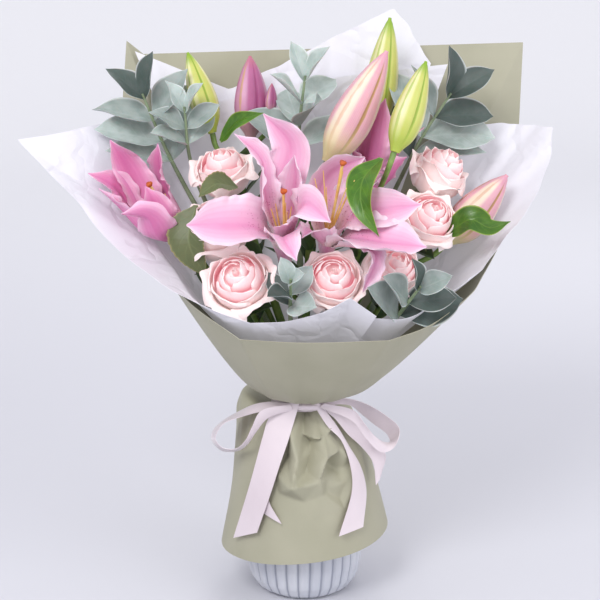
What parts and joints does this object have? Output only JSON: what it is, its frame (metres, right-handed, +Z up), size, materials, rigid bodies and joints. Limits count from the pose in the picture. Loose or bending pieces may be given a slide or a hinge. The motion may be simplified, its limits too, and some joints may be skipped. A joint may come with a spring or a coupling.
{
  "type": "mixed flower bouquet",
  "caption": "Wrapped hand-tied bouquet of lilies, roses, buds and silver-leaved sprays with a satin bow, standing in a fluted white pot.",
  "frame": {"origin": "middle of the flat foot of the pot", "axes": "+Z up along the tied stems, -Y towards the front of the bouquet, +X to its right seen from the front"},
  "size_m": [0.4754, 0.2333, 0.5222],
  "materials": {
    "pot": "white satin glaze over moulded flutes",
    "water": "clear still water",
    "wrapping_paper": "matte sage paper, softly creased",
    "tissue": "thin translucent white tissue with fine creases",
    "ribbon": "pale pink satin",
    "twine": "twisted natural fibre",
    "lily_petal": "soft petal, pale at the edge and ribbed along the middle",
    "stamen": "smooth waxy thread",
    "bud_green": "waxy, yellow-green with pale ribs",
    "bud_pink": "waxy, pink with pale ribs",
    "rose_petal": "velvety, blush at the heart",
    "green_stem": "fresh green stem and leaf",
    "silver_leaf": "grey-green with a waxy bloom"
  },
  "bodies": {
    "root": {"bud_green_left": "bud_green", "bud_green_right": "bud_green", "bud_pink_left": "bud_pink", "bud_pink_right": "bud_pink", "bud_pink_tall": "bud_pink", "bud_small": "bud_pink", "bud_yellow_back": "bud_green", "lily_back": "lily_petal", "lily_back_stamens": "stamen", "lily_centre": "lily_petal", "lily_centre_stamens": "stamen", "lily_left": "lily_petal", "lily_left_stamens": "stamen", "lily_right": "lily_petal", "lily_right_stamens": "stamen", "lily_stem_centre": "green_stem", "lily_stem_far_left": "green_stem", "lily_stem_left": "green_stem", "lily_stem_right": "green_stem", "pot": "pot", "ribbon": "ribbon", "rose_front": "rose_petal", "rose_front_left": "rose_petal", "rose_front_left_stem": "green_stem", "rose_front_stem": "green_stem", "rose_left": "rose_petal", "rose_left_stem": "green_stem", "rose_lower_right": "rose_petal", "rose_lower_right_stem": "green_stem", "rose_right": "rose_petal", "rose_right_stem": "green_stem", "rose_upper_left": "rose_petal", "rose_upper_left_stem": "green_stem", "rose_upper_right": "rose_petal", "rose_upper_right_stem": "green_stem", "spray_front": "silver_leaf", "spray_front_right": "silver_leaf", "spray_left": "silver_leaf", "spray_right": "silver_leaf", "spray_top": "silver_leaf", "spray_upper_left": "silver_leaf", "tissue_back": "tissue", "tissue_left": "tissue", "tissue_right": "tissue", "twine": "twine", "water": "water", "wrap_paper": "wrapping_paper"}
  },
  "joints": []
}
